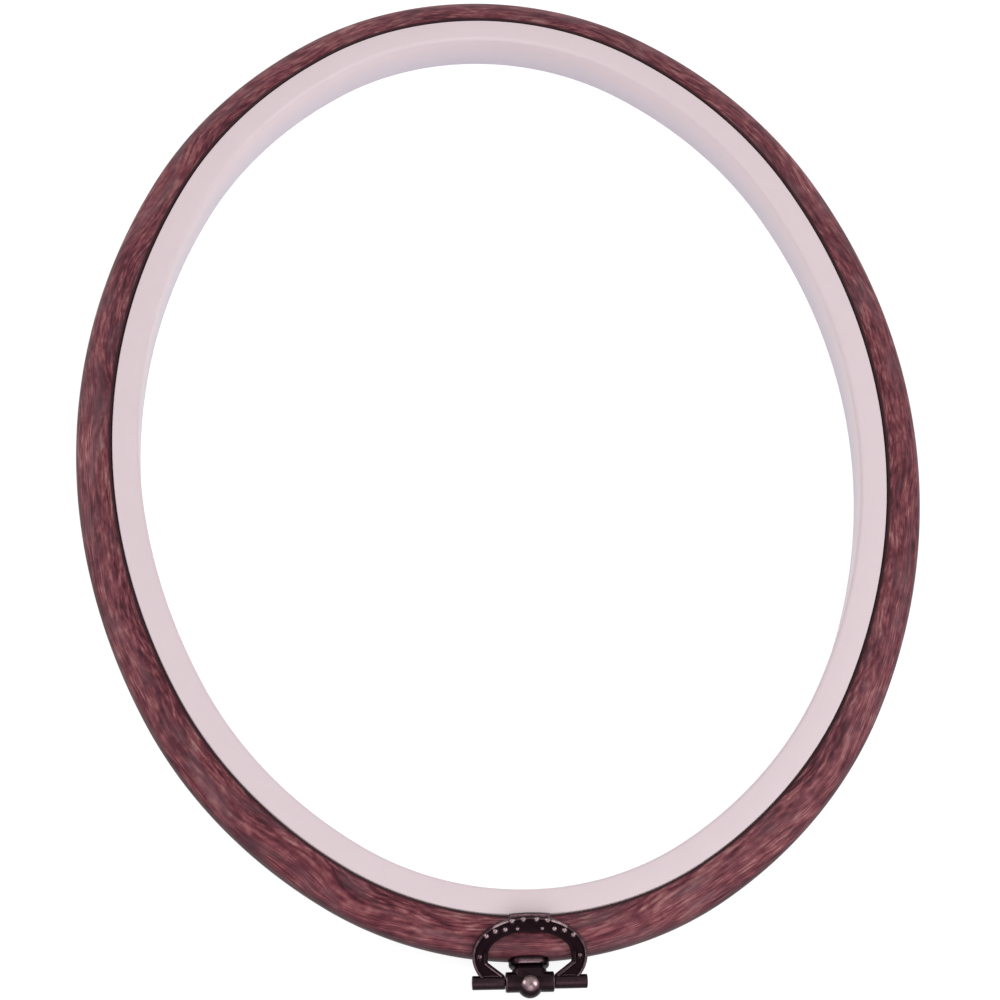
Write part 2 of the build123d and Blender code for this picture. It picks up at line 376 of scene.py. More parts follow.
from_front = Vector((0, -0.75, 0.66)).normalized()
add_soft_box("soft_box_left", mirrored_at(-0.45, 0.33), distance=1.2, side=0.50, power=3.2)
add_soft_box("soft_box_right", mirrored_at(0.42, 0.22), distance=1.2, side=0.62, power=5.2)
add_soft_box("fill_box_front", from_front, distance=1.5, side=1.2, power=6.5)

# %% [markdown]
# ## Effects that several finishes share
#
# Mottle is the faint unevenness that any moulded or cast surface has, and worn
# edges is the lighter line where handling rubs the finish away. Each is built
# once as a node group with named inputs, and every material places it with
# its own numbers. A group gives out only values, and the shader stays in the
# material, so that the exported model keeps both.

# %% Start a node group
def start_group(name, inputs, outputs):
    """A shader group with float inputs (name, start value) and outputs (name, kind)."""
    tree = bpy.data.node_groups.new(name, "ShaderNodeTree")
    for socket_name, value in inputs:
        socket = tree.interface.new_socket(
            socket_name, in_out="INPUT", socket_type="NodeSocketFloat"
        )
        socket.default_value = value
    for socket_name, kind in outputs:
        tree.interface.new_socket(socket_name, in_out="OUTPUT", socket_type=kind)
    return tree, add_node(tree, "NodeGroupInput").outputs, add_node(tree, "NodeGroupOutput").inputs


# %% The mottle group
mottle, given, result = start_group(
    "mottle", [("Size", 0.01), ("Amount", 0.1)], [("Shade", "NodeSocketFloat")]
)
coordinates = add_node(mottle, "ShaderNodeTexCoord").outputs["Object"]
per_metre = add_math(mottle, "DIVIDE", 1.0, given["Size"])
clouds = add_node(
    mottle,
    "ShaderNodeTexNoise",
    {"Vector": coordinates, "Scale": per_metre, "Detail": 4.0, "Roughness": 0.6},
).outputs[0]
swing = add_math(mottle, "MULTIPLY", add_math(mottle, "SUBTRACT", clouds, 0.5), given["Amount"])
link(mottle, (add_math(mottle, "ADD", swing, 1.0), result["Shade"]))
print("group:", mottle.name)

# %% The worn edges group
worn, given, result = start_group(
    "worn_edges",
    [("Reach", 0.0003), ("Breakup Size", 0.002), ("Strength", 1.0)],
    [("Mask", "NodeSocketFloat")],
)
true_normal = add_node(worn, "ShaderNodeNewGeometry").outputs["Normal"]
rounded = add_node(worn, "ShaderNodeBevel", {"Radius": given["Reach"]}, samples=4).outputs[0]
agreement = add_node(
    worn, "ShaderNodeVectorMath", {0: true_normal, 1: rounded}, operation="DOT_PRODUCT"
).outputs["Value"]
edge = spread(worn, agreement, 0.99, 0.80)
coordinates = add_node(worn, "ShaderNodeTexCoord").outputs["Object"]
per_metre = add_math(worn, "DIVIDE", 1.0, given["Breakup Size"])
patches = add_node(
    worn, "ShaderNodeTexNoise", {"Vector": coordinates, "Scale": per_metre, "Detail": 3.0}
).outputs[0]
kept = spread(worn, patches, 0.35, 0.6)
mask = add_math(worn, "MULTIPLY", add_math(worn, "MULTIPLY", edge, kept), given["Strength"])
link(worn, (mask, result["Mask"]))
print("group:", worn.name)


# %% Starting a material
def start_material(name, **values):
    """A material with its Principled shader's plain values set on the shader itself."""
    material = bpy.data.materials.new(name)
    material.use_nodes = True
    shader = material.node_tree.nodes["Principled BSDF"]
    for socket_name, value in values.items():
        shader.inputs[socket_name.replace("_", " ")].default_value = value
    return material, material.node_tree, shader.inputs


def place_group(tree, group, inputs):
    """Place a node group in a material with its own values, returning its first output."""
    return add_node(tree, "ShaderNodeGroup", inputs, node_tree=group).outputs[0]


def from_srgb(red, green, blue):
    """A colour as an 8 bit picture shows it, as the linear colour that nodes expect."""
    shares = [value / 255 for value in (red, green, blue)]
    linear = [s / 12.92 if s <= 0.04045 else ((s + 0.055) / 1.055) ** 2.4 for s in shares]
    return (*linear, 1)


def tint(tree, colour, shade):
    """A colour socket or value multiplied by a shade."""
    node = add_node(tree, "ShaderNodeVectorMath", operation="SCALE")
    if isinstance(colour, bpy.types.NodeSocket):
        tree.links.new(colour, node.inputs[0])
    else:
        node.inputs[0].default_value = colour[:3]
    tree.links.new(shade, node.inputs["Scale"])
    return node.outputs[0]


def mix_colours(tree, factor, first, second):
    """Mix two colours by a factor."""
    node = add_node(tree, "ShaderNodeMix", data_type="RGBA")
    for index, value in ((0, factor), (6, first), (7, second)):
        if isinstance(value, bpy.types.NodeSocket):
            tree.links.new(value, node.inputs[index])
        else:
            node.inputs[index].default_value = value
    return node.outputs[2]


def colour_ramp(tree, value, shades):
    """Colours along a value by shades (position, 8 bit colour), from one at 0 to one at 1."""
    ramp = add_node(tree, "ShaderNodeValToRGB", {0: value})
    ramp.color_ramp.elements[0].color = from_srgb(*shades[0][1])
    ramp.color_ramp.elements[1].color = from_srgb(*shades[-1][1])
    for position, colour in shades[1:-1]:
        ramp.color_ramp.elements.new(position).color = from_srgb(*colour)
    return ramp.outputs[0]


def bump(tree, height, distance):
    """A Bump node's normal for a height."""
    return add_node(
        tree, "ShaderNodeBump", {"Height": height, "Distance": distance, "Strength": 1.0}
    ).outputs[0]


# %% [markdown]
# ## The inner hoop's finish
#
# Hard white plastic, pale pink in the studio's light, with a faint mottle and
# a satin surface. Its wall turns a little violet towards the back, where less
# direct light reaches it, so that shift is painted by height, which is the Z
# of the Object coordinates.

# %% Make the white plastic
plastic, tree, surface = start_material("hoop_plastic_white", Roughness=0.42, IOR=1.5)
front_white = from_srgb(229, 211, 216)
back_white = from_srgb(212, 202, 214)
height = add_node(
    tree,
    "ShaderNodeSeparateXYZ",
    {0: add_node(tree, "ShaderNodeTexCoord").outputs["Object"]},
).outputs["Z"]
towards_front = spread(tree, height, 0.5 * mm, 8 * mm)
white = mix_colours(tree, towards_front, back_white, front_white)
cloud = place_group(tree, mottle, {"Size": 6 * mm, "Amount": 0.06})
link(tree, (tint(tree, white, cloud), surface["Base Color"]))
grain = place_group(tree, mottle, {"Size": 0.9 * mm, "Amount": 1.0})
link(tree, (bump(tree, grain, 0.02 * mm), surface["Normal"]))

# %% [markdown]
# ## The outer hoop's printed grain
#
# Real flexi hoops are soft vinyl with a wood grain printed round them, so the
# grain runs along the hoop and not across it. Noise on Object coordinates
# couldn't follow the oval. Instead the hoop carries a UV map: U is the share
# of the way round and V is the distance over the section in metres. U is
# turned into a point on a circle as long as the hoop, so the pattern has no
# seam, and noise stretched along that circle gives the streaks.

# %% Coordinates that run along the hoop
vinyl, tree, surface = start_material(
    "grain_vinyl_brown", Roughness=0.5, IOR=1.48, Specular_IOR_Level=0.22
)
run_map = add_node(tree, "ShaderNodeUVMap", uv_map="run").outputs[0]
run_share = add_node(tree, "ShaderNodeSeparateXYZ", {0: run_map}).outputs
run_angle = add_math(tree, "MULTIPLY", run_share["X"], full_turn)
run_x = add_math(tree, "MULTIPLY", add_math(tree, "COSINE", run_angle), run_radius)
run_y = add_math(tree, "MULTIPLY", add_math(tree, "SINE", run_angle), run_radius)
across = run_share["Y"]


def run_vector(along_size, across_size, lean=None):
    """Coordinates in which one unit is a given length along the hoop and across it."""
    over = across if lean is None else add_math(tree, "ADD", across, lean)
    return add_node(
        tree,
        "ShaderNodeCombineXYZ",
        {
            0: add_math(tree, "DIVIDE", run_x, along_size),
            1: add_math(tree, "DIVIDE", run_y, along_size),
            2: add_math(tree, "DIVIDE", over, across_size),
        },
    ).outputs[0]


def noise(vector, detail=2.0, roughness=0.5):
    """A noise value on coordinates already in units of its own size."""
    return add_node(
        tree,
        "ShaderNodeTexNoise",
        {"Vector": vector, "Scale": 1.0, "Detail": detail, "Roughness": roughness},
    ).outputs[0]


# %% Streaks, flecks and clouds of the print
wander = spread(tree, noise(run_vector(40 * mm, 30 * mm), 1.0), 0.25, 0.75, -3 * mm, 3 * mm)
streaks = noise(run_vector(6 * mm, 0.7 * mm, wander), 4.0, 0.65)
flecks = noise(run_vector(3 * mm, 0.32 * mm, wander), 3.0, 0.65)
patches = noise(run_vector(18 * mm, 5 * mm, wander), 3.0, 0.6)
tone = add_math(
    tree,
    "ADD",
    add_math(tree, "MULTIPLY", streaks, 0.45),
    add_math(
        tree,
        "ADD",
        add_math(tree, "MULTIPLY", flecks, 0.3),
        add_math(tree, "MULTIPLY", patches, 0.25),
    ),
)
print_shades = [
    (0.0, (50, 12, 24)),
    (0.3, (88, 34, 46)),
    (0.52, (116, 56, 65)),
    (0.75, (144, 84, 89)),
    (1.0, (172, 124, 122)),
]
new_print = colour_ramp(tree, spread(tree, tone, 0.38, 0.62), print_shades)

# %% Greyer patches, and painted shade at the seam and at the outer wall
age_clouds = noise(run_vector(14 * mm, 4 * mm, wander), 3.0, 0.6)
aged = spread(tree, age_clouds, 0.48, 0.68, 0.0, 0.6)
aged_print = mix_colours(tree, aged, new_print, from_srgb(98, 70, 78))
# Painted shade: the print darkens towards the seam, where the crown turns away from the light.
seam_shade = spread(tree, across, 0.8 * mm, 5 * mm, 0.82, 1.0)
# Painted shadow: a nearly black line along the seam where the two hoops meet, easing to a plain
# dark red further down the inner wall.
seam_shadow_line = spread(tree, across, 0.2 * mm, 0.65 * mm)
inner_wall = spread(tree, across, -0.9 * mm, -1.6 * mm)
seam_shadow_colour = mix_colours(tree, inner_wall, from_srgb(40, 8, 16), from_srgb(104, 56, 63))
print_colour = tint(tree, aged_print, seam_shade)
print_colour = mix_colours(tree, seam_shadow_line, seam_shadow_colour, print_colour)
# Painted shade: the print darkens towards the outer wall, which faces down and away from the
# light.
wall_shade_line = spread(tree, across, 7.6 * mm, 9.6 * mm, 0.0, 0.8)
print_colour = mix_colours(tree, wall_shade_line, print_colour, from_srgb(50, 28, 36))
link(tree, (print_colour, surface["Base Color"]))
link(tree, (spread(tree, tone, 0.35, 0.65, 0.56, 0.44), surface["Roughness"]))
link(tree, (bump(tree, flecks, 0.03 * mm), surface["Normal"]))

# %% [markdown]
# ## The hanger's two metals
#
# The hanger is an antiqued casting: after plating it is blackened all over,
# and tumbling rubs the black off wherever it stands proud. So it is nearly
# black in its hollows and pale on its beads and rims. How far each place is
# rubbed is written on the pieces as an attribute when they are made, and the
# finish reads it. That attribute also carries painted highlights: the tops of
# the ball, barrel and knuckles, the upper sides of the beads, the middle of
# the collar's upper edge and the raised line on the bail's shoulders are made
# lighter where the lamps catch them. The pin has no such attribute, and
# neither have the screw and washer in plain plated steel, so on these only
# the edges are worn.

# %% Make a metal
edge_reach = 0.12 * mm
pit_depth = 0.008 * mm


def make_metal(name, shades, roughness, grain_size):
    """A metal whose shades run from untouched at 0 to rubbed bright at 1."""
    material, tree, surface = start_material(name, Metallic=1.0)
    cloud = place_group(tree, mottle, {"Size": grain_size, "Amount": 0.6})
    mask = place_group(
        tree, worn, {"Reach": edge_reach, "Breakup Size": 4 * grain_size, "Strength": 0.5}
    )
    # The attribute holds real rubbing and painted highlights together.
    rub_and_highlight = add_node(tree, "ShaderNodeAttribute", attribute_name="rub_and_highlight").outputs["Fac"]
    wear_and_highlight = add_math(tree, "ADD", add_math(tree, "MULTIPLY", rub_and_highlight, cloud), mask, clamp=True)
    shade = colour_ramp(tree, wear_and_highlight, shades)
    link(tree, (tint(tree, shade, cloud), surface["Base Color"]))
    by_wear = spread(tree, wear_and_highlight, 0.0, 0.5, 1.5 * roughness, roughness)
    rough_cloud = place_group(tree, mottle, {"Size": grain_size, "Amount": 0.3})
    rough = add_math(tree, "MULTIPLY", rough_cloud, by_wear, clamp=True)
    link(tree, (rough, surface["Roughness"]))
    pitted = place_group(tree, mottle, {"Size": 0.4 * grain_size, "Amount": 1.0})
    link(tree, (bump(tree, pitted, pit_depth), surface["Normal"]))
    return material


bronze_shades = [
    (0.0, (20, 11, 15)),
    (0.3, (54, 40, 44)),
    (0.6, (116, 95, 100)),
    (1.0, (188, 170, 170)),
]
steel_shades = [(0.0, (150, 150, 152)), (1.0, (210, 210, 212))]
bronze = make_metal("antique_bronze_dark", bronze_shades, roughness=0.24, grain_size=0.8 * mm)
steel = make_metal("screw_steel_plated", steel_shades, roughness=0.32, grain_size=0.6 * mm)
print("materials:", [m.name for m in bpy.data.materials])


# %% Writing the rub on a piece
def eased(value, low, high):
    """A value from 0 at one limit to 1 at the other, eased at both ends."""
    share = clamped((value - low) / (high - low))
    return share * share * (3 - 2 * share)


def paint_rub_and_highlight(piece, rub_and_highlight_at):
    """Write in each vertex how far its place is rubbed, with any painted highlight added in."""
    layer = piece.data.attributes.new("rub_and_highlight", "FLOAT", "POINT")
    for vertex, value in zip(piece.data.vertices, layer.data):
        value.value = rub_and_highlight_at(vertex.co)
    print(piece.name, "rubbed on", len(layer.data), "vertices")


# %% [markdown]
# ## Both hoops
#
# Each hoop is one section carried round the oval. A curve with a bevel object
# could do it, but its corners twist and its UVs are out of reach. Here the
# section is spun into a plain round ring, and each vertex is then moved from
# the circle to the oval: its angle says where it goes, and its distance from
# the circle stays its distance from the seam.

# %% Spin a section and lay it on the oval
ring_steps = 360
spin_radius = 100 * mm


def walk_section(mesh, start_point):
    """Write in each vertex how far it lies along the section from the seam's front corner."""
    along = mesh.verts.layers.float["along"]
    mesh.verts.ensure_lookup_table()
    vertex = min(mesh.verts, key=lambda v: (v.co - Vector(start_point)).length)
    edge = max(vertex.link_edges, key=lambda e: e.other_vert(vertex).co.z)
    reached, order = 0.0, [vertex]
    vertex[along] = 0.0
    while len(order) < len(mesh.verts):
        following = edge.other_vert(vertex)
        reached += (following.co - vertex.co).length
        following[along] = reached
        order.append(following)
        edge = next(e for e in following.link_edges if e is not edge)
        vertex = following
    return reached


def ring_from_section(name, points, rounds, start_point, zero_at):
    """A hoop from its section, points (outward from the seam, up), with its run map."""
    mesh = bmesh.new()
    mesh.verts.layers.float.new("along")
    draw_section(mesh, [(spin_radius + x, z) for x, z in points], rounds)
    section_length = walk_section(mesh, (spin_radius + start_point[0], 0, start_point[1]))
    spin(mesh, (0, 0, 1), (0, 0, 0), ring_steps)
    along = mesh.verts.layers.float["along"]
    shares = {}
    for vertex in mesh.verts:
        turn = math.atan2(vertex.co.y, vertex.co.x)
        offset = math.hypot(vertex.co.x, vertex.co.y) - spin_radius
        point, shares[vertex] = seam_place(turn)
        up = Vector((0, 0, vertex.co.z))
        vertex.co = point + offset * facing_at(turn) + up
    run = mesh.loops.layers.uv.new("run")
    for face in mesh.faces:
        us = [shares[loop.vert] for loop in face.loops]
        vs = [loop.vert[along] for loop in face.loops]
        for loop, u, v in zip(face.loops, us, vs):
            u += 1.0 if max(us) - u > 0.5 else 0.0
            v += section_length if max(vs) - v > section_length / 2 else 0.0
            loop[run].uv = (u, v - zero_at)
    return to_object(mesh, name)


# %% The white inner hoop
back_inside, flange_edge, flange_top, wall_foot, seam_corner, front_inside = range(6)
inner_points = [
    (-6.0 * mm, 0),
    (2.55 * mm, 0),
    (2.55 * mm, 1.2 * mm),
    (0.35 * mm, 1.2 * mm),
    (0, 10.0 * mm),
    (-6.0 * mm, 10.0 * mm),
]
inner_rounds = [
    (back_inside, 0.5 * mm, 3),
    (flange_edge, 0.2 * mm, 2),
    (flange_top, 0.2 * mm, 2),
    (seam_corner, 0.3 * mm, 3),
    (front_inside, 1.0 * mm, 6),
]
inner_hoop = ring_from_section(
    "white_inner_hoop", inner_points, inner_rounds, inner_points[wall_foot], 0
)
settle(inner_hoop, plastic, "inner", "inner_hoop")

# %% [markdown]
# The outer hoop's front is a flatter crown that turns into a tight corner and
# a narrow upright wall. Its underside is bevelled, with its corners rounded so
# that it feels soft in the hand. A rebate at the back takes the inner hoop's
# flange. The section starts at the foot of the wall that meets the inner hoop,
# climbs to the seam, and then goes over the crown and round the back.

# %% The soft outer hoop
corner_radius = 3.0 * mm
crown_radius = 10.933 * mm
corner_turn = math.radians(55.42)
land_top = middle_height + 0.6 * mm
crown_start = 0.8 * mm
run_to_seam = 8.75 * mm
corner_arc = arc_points((outer_width - corner_radius, land_top), corner_radius, 0, corner_turn, 8)
crown_arc = arc_points(
    (crown_start, hoop_depth - crown_radius),
    crown_radius,
    corner_turn,
    right_angle - corner_turn,
    8,
)
seam_top, wall_bottom, bevel_corner, back_edge, rebate_edge = 1, -5, -4, -3, -2
outer_points = [
    (0.506 * mm, 1.25 * mm),
    (0.2 * mm, hoop_depth),
    *reversed(crown_arc),
    *reversed(corner_arc[:-1]),
    (outer_width, 4.4 * mm),
    (7.0 * mm, 1.93 * mm),
    (4.2 * mm, 0),
    (2.75 * mm, 0),
    (2.75 * mm, 1.25 * mm),
]
outer_rounds = [
    (seam_top, 0.45 * mm, 4),
    (wall_bottom, 1.1 * mm, 5),
    (bevel_corner, 1.4 * mm, 6),
    (back_edge, 1.1 * mm, 5),
    (rebate_edge, 0.2 * mm, 2),
]
outer_hoop = ring_from_section(
    "grain_outer_hoop", outer_points, outer_rounds, outer_points[0], run_to_seam
)

# %% [markdown]
# ## Where the hanger is fixed
#
# The hanger's collar stands in a shallow seat in the outer hoop's wall, and a
# screw holds it from inside the ring, with its head and washer sunk in a
# recess. Seat, hole and recess could be modelled into the ring's own faces,
# but the ring is already laid on the oval there. So each is cut with a solid
# of its own form. The same two kinds of solid, turned and pushed out of a flat
# shape, are joined to make the hanger.

# %% Solids to cut and join with
round_steps = 48
hole_steps = 32
axis_gap = 1e-6


def turned(points, steps, axis, centre, rounds=()):
    """A solid turned about an axis through a centre, its section in (radius, along)."""
    mesh = bmesh.new()
    draw_section(mesh, points, rounds)
    spin(mesh, (0, 0, 1), (0, 0, 0), steps)
    close_up(mesh, axis_gap)
    turn = Vector((0, 0, 1)).rotation_difference(Vector(axis)).to_matrix().to_4x4()
    bmesh.ops.transform(mesh, matrix=Matrix.Translation(centre) @ turn, verts=mesh.verts[:])
    return to_object(mesh, "turned_solid")


def rod(radius, start, end, axis, centre):
    """A plain round rod, as a drill leaves a hole."""
    section = [(0, start), (radius, start), (radius, end), (0, end)]
    return turned(section, hole_steps, axis, centre)


def pushed(mesh, depth, near_edge, far_edge, place):
    """Extrude a mesh's one face by a depth, soften its two rims and put it in place."""
    made = bmesh.ops.extrude_face_region(mesh, geom=mesh.faces[:])
    top = [item for item in made["geom"] if isinstance(item, bmesh.types.BMVert)]
    bmesh.ops.translate(mesh, vec=(0, 0, depth), verts=top)
    for level, reach in ((0, near_edge), (depth, far_edge)):
        rim = [e for e in mesh.edges if all(abs(v.co.z - level) < 1e-8 for v in e.verts)]
        if reach:
            bmesh.ops.bevel(
                mesh, geom=rim, offset=reach, segments=4, profile=0.5, affect="EDGES", material=-1
            )
    bmesh.ops.transform(mesh, matrix=place, verts=mesh.verts[:])
    return to_object(mesh, "pushed_solid")


def obround_block(width, height, start_y, end_y, near_edge=0, far_edge=0):
    """A block with round ends on the screw's axis, pushed from one y towards the ball."""
    mesh = bmesh.new()
    bmesh.ops.create_circle(mesh, cap_ends=True, segments=round_steps, radius=height / 2)
    half_step = Matrix.Rotation(math.pi / round_steps, 3, "Z")
    bmesh.ops.rotate(mesh, cent=(0, 0, 0), matrix=half_step, verts=mesh.verts[:])
    for vertex in mesh.verts:
        vertex.co.x += math.copysign((width - height) / 2, vertex.co.x)
    place = Matrix.Translation((0, start_y, middle_height)) @ Matrix.Rotation(right_angle, 4, "X")
    return pushed(mesh, start_y - end_y, near_edge, far_edge, place)


# %% Cut the seat, the screw's hole and the washer's recess
recess_radius = 3.1 * mm
hole_radius = 1.3 * mm
recess_floor_y = wall_y + 5.7 * mm
seat_y = wall_y + 0.35 * mm
spare = 1 * mm
past_inside = wall_y + outer_width + spare
past_wall = wall_y - spare
screw_line = Vector((0, 0, middle_height))
collar_width = 8.4 * mm
collar_height = 5.2 * mm
seat_gap = 0.15 * mm


def drill(piece, radius, start, end, axis=(0, 1, 0), centre=screw_line):
    """Cut a round hole through a piece, along the screw unless another axis is given."""
    combine(piece, rod(radius, start, end, axis, centre), "DIFFERENCE")


seat = obround_block(collar_width + 2 * seat_gap, collar_height + 2 * seat_gap, seat_y, past_wall)
combine(outer_hoop, seat, "DIFFERENCE")
drill(outer_hoop, hole_radius, past_wall, past_inside)
drill(outer_hoop, recess_radius, recess_floor_y, past_inside)
settle(outer_hoop, vinyl, "outer", "outer_hoop")

# %% [markdown]
# ## Collar and post
#
# The collar is a flat foot with round ends and a full front edge, which the
# screw draws against the hoop's wall. The post in front of it is one casting:
# a narrow waist, a neck, a barrel across for the pin and a ball on the front.
# Each form is turned or pushed out of a flat shape on its own, and they are
# then joined into one skin.

# %% The collar
collar_depth = 1.6 * mm
collar_back_edge = 0.2 * mm
collar_front_edge = 0.6 * mm
collar_front_y = seat_y - collar_depth
collar = obround_block(
    collar_width, collar_height, seat_y, collar_front_y, collar_back_edge, collar_front_edge
)
collar.name = "flat_collar"
drill(collar, hole_radius, past_wall - spare, seat_y + spare)


def collar_rub_and_highlight(point):
    """The collar is lighter in the middle of its upper front edge, a rubbed edge with a painted
    highlight on it, and black elsewhere.
    """
    behind_front = (point.y - collar_front_y) / mm
    # Painted highlight: only the upper half of the front edge is lightened, where the lamps above
    # catch it.
    on_edge = 0.05 < behind_front < 0.75 and point.z > middle_height
    return 0.04 + 0.5 * on_edge * (1 - eased(abs(point.x), 1.7 * mm, 3.4 * mm))


paint_rub_and_highlight(collar, collar_rub_and_highlight)
settle(collar, bronze, "outer", "hanger_collar")

# %% The post's forms
hinge_reach = 4.4 * mm
hinge_y = wall_y - hinge_reach
waist_length = 0.7 * mm
waist_overlap = 0.5 * mm
waist_width, waist_height = 6.0 * mm, 3.2 * mm
neck_width, neck_height = 7.3 * mm, 4.1 * mm
neck_edge = 0.2 * mm
neck_back_y = collar_front_y - waist_length
hinge = Vector((0, hinge_y, middle_height))
barrel_half = 5.0 * mm
barrel_radius = 2.1 * mm
barrel_edge = 0.28 * mm
ball_radius = 2.63 * mm
ball_forward = 0.75 * mm
ball_place = hinge + Vector((0, -ball_forward, 0))
pin_hole_radius = 0.78 * mm
screw_hole_radius = 1.15 * mm
screw_hole_end_y = wall_y - 3.1 * mm
touching = 0.02 * mm

barrel_points = [
    (0, -barrel_half),
    (barrel_radius, -barrel_half),
    (barrel_radius, barrel_half),
    (0, barrel_half),
]
barrel_rounds = [(1, barrel_edge, 4), (2, barrel_edge, 4)]
post = turned(barrel_points, round_steps, (1, 0, 0), hinge, barrel_rounds)
post.name = "hanger_casting"
neck = obround_block(neck_width, neck_height, neck_back_y, hinge_y, neck_edge)
combine(post, neck, "UNION")
waist = obround_block(waist_width, waist_height, collar_front_y, neck_back_y - waist_overlap)
combine(post, waist, "UNION")
ball_mesh = bmesh.new()
bmesh.ops.create_uvsphere(
    ball_mesh, u_segments=round_steps, v_segments=hole_steps, radius=ball_radius
)
bmesh.ops.translate(ball_mesh, vec=ball_place, verts=ball_mesh.verts[:])
combine(post, to_object(ball_mesh, "ball"), "UNION")
drill(post, pin_hole_radius, -2 * barrel_half, 2 * barrel_half, (1, 0, 0), hinge)
drill(post, screw_hole_radius, screw_hole_end_y, past_inside)


def post_rub_and_highlight(point):
    """The ball's top is lighter down to its seams, a painted highlight, and the barrel's end edges
    a little; the barrel and its end edges are painted lighter on top than below.
    """
    outward = (point - ball_place) / ball_radius
    upward = (point.z - middle_height) / barrel_radius
    on_ball = outward.length < 1.01
    on_waist = point.y > neck_back_y - touching
    on_neck = point.y > hinge_y + barrel_radius
    on_end_edge = abs(point.x) > barrel_half - 0.2 * mm
    # Painted highlight: the ball is lighter towards its top, where it faces the lamps; its seams
    # with barrel and neck stay black.
    if on_ball:
        across_barrel = math.hypot(point.y - hinge_y, point.z - middle_height)
        over_barrel = across_barrel > barrel_radius + 0.03 * mm
        over_neck = point.y < hinge_y or upward > 1
        return 0.08 + 0.6 * eased(outward.z, 0.5, 0.9) * (over_barrel and over_neck)
    if on_waist:
        return 0.0
    if on_neck:
        return 0.16
    # Painted light: the barrel and its end edges are lighter on their upper side than below.
    if on_end_edge:
        return 0.1 + 0.4 * eased(upward, 0, 0.9)
    return 0.04 + 0.12 * eased(upward, 0, 0.9)


paint_rub_and_highlight(post, post_rub_and_highlight)
settle(post, bronze, "outer", "hanger_post")

# %% [markdown]
# ## The beaded bail
#
# The bail is a flat stirrup with a sunk channel between two raised lines, and
# round beads standing in the channel. Its outline and its opening are two
# different curves, so a plain sweep can't make it. A section is spun through
# half a turn, then each vertex is laid between the two curves: the inner ones
# measure from the opening and the outer ones from the outline, so both raised
# lines keep their width while the channel between them widens and narrows.
# Behind the crown a thinner lip stands out beyond the raised line.

# %% The two curves of the bail, from the foot to the crown
bail_lean = math.radians(34.975)
bail_across = Vector((1, 0, 0))
bail_along = Vector((0, math.cos(bail_lean), math.sin(bail_lean)))
bail_front = bail_across.cross(bail_along)

half_width = 11.87 * mm
bail_length = 14.1 * mm
arch_length = 13.7 * mm
widest_reach = 5.6 * mm
leg_radius = 6.764 * mm
leg_turn = math.radians(55.9)
opening_half_width = 8.6 * mm
opening_length = 10.5 * mm
leg_share = 0.4
cheek_points = [(0.0, 5.15, 0.0), (0.2, 5.15, 1.45), (0.75, 8.6, 4.1), (1.0, 8.6, 5.6)]
easing_step = 0.006


def outline_at(share):
    """The bail's outline on its right half, from foot at 0 to crown at 1."""
    if share < leg_share:
        angle = -leg_turn * (1 - share / leg_share)
        across = half_width - leg_radius + leg_radius * math.cos(angle)
        along = widest_reach + leg_radius * math.sin(angle)
        return Vector((across, along, 0))
    angle = right_angle * (share - leg_share) / (1 - leg_share)
    rise = arch_length - widest_reach
    return Vector((half_width * math.cos(angle), widest_reach + rise * math.sin(angle), 0))


def opening_at(share):
    """The opening's edge on its right half: cheek_points (share of the leg, across, along)
    in mm up to the widest place, and an arch above it."""
    if share < leg_share:
        place = share / leg_share
        for (start, x0, y0), (end, x1, y1) in zip(cheek_points, cheek_points[1:]):
            if place <= end:
                part = (place - start) / (end - start)
                return Vector((x0 + (x1 - x0) * part, y0 + (y1 - y0) * part, 0)) * mm
    angle = right_angle * (share - leg_share) / (1 - leg_share)
    rise = opening_length - widest_reach
    return Vector((opening_half_width * math.cos(angle), widest_reach + rise * math.sin(angle), 0))


def eased_opening_at(share):
    """The opening's edge with its corners eased by averaging a few places."""
    places = [clamped(share + shift * easing_step) for shift in (-2, -1, 0, 1, 2)]
    return sum((opening_at(place) for place in places), Vector()) / len(places)


# %% Spin the section and lay it between the curves
bail_steps = 180
half_thick = 0.75 * mm
channel_floor = 0.45 * mm
section_middle = 10 * mm
far_side = 20 * mm
ridge_fade = 0.16
bail_points = [
    (0, -0.75),
    (0, 0.2),
    (0.8, 0.75),
    (1.15, 0.45),
    (19.3, 0.45),
    (19.45, 0.75),
    (20, 0.75),
    (20, -0.75),
]
bail_rounds = [
    (0, 0.3 * mm, 3),
    (1, 0.2 * mm, 3),
    (2, 0.1 * mm, 2),
    (3, 0.12 * mm, 2),
    (4, 0.12 * mm, 2),
    (5, 0.1 * mm, 2),
    (6, 0.22 * mm, 3),
    (7, 0.3 * mm, 3),
]


def ridge_height(share):
    """How much of the ridge beside the opening is left: all on the cheek, none over the crown."""
    return 1 - clamped((share - leg_share) / ridge_fade)


plate = bmesh.new()
draw_section(plate, [(spin_radius + x * mm, z * mm) for x, z in bail_points], bail_rounds)
spin(plate, (0, 0, 1), (0, 0, 0), bail_steps, math.pi)
for vertex in plate.verts:
    turn = math.atan2(vertex.co.y, vertex.co.x) % full_turn
    # Rounding can leave the first vertices a hair below the start of the turn.
    turn = 0 if turn > 1.5 * math.pi else turn
    mirrored = turn > right_angle
    share = clamped((math.pi - turn if mirrored else turn) / right_angle)
    offset = math.hypot(vertex.co.x, vertex.co.y) - spin_radius
    outline, opening = outline_at(share), eased_opening_at(share)
    inward = (opening - outline).normalized()
    height = vertex.co.z
    if offset < section_middle:
        place = opening - inward * offset
        if height > channel_floor:
            height = channel_floor + (height - channel_floor) * ridge_height(share)
    else:
        place = outline + inward * (far_side - offset)
    place.x *= -1 if mirrored else 1
    vertex.co = hinge + place.x * bail_across + place.y * bail_along + height * bail_front
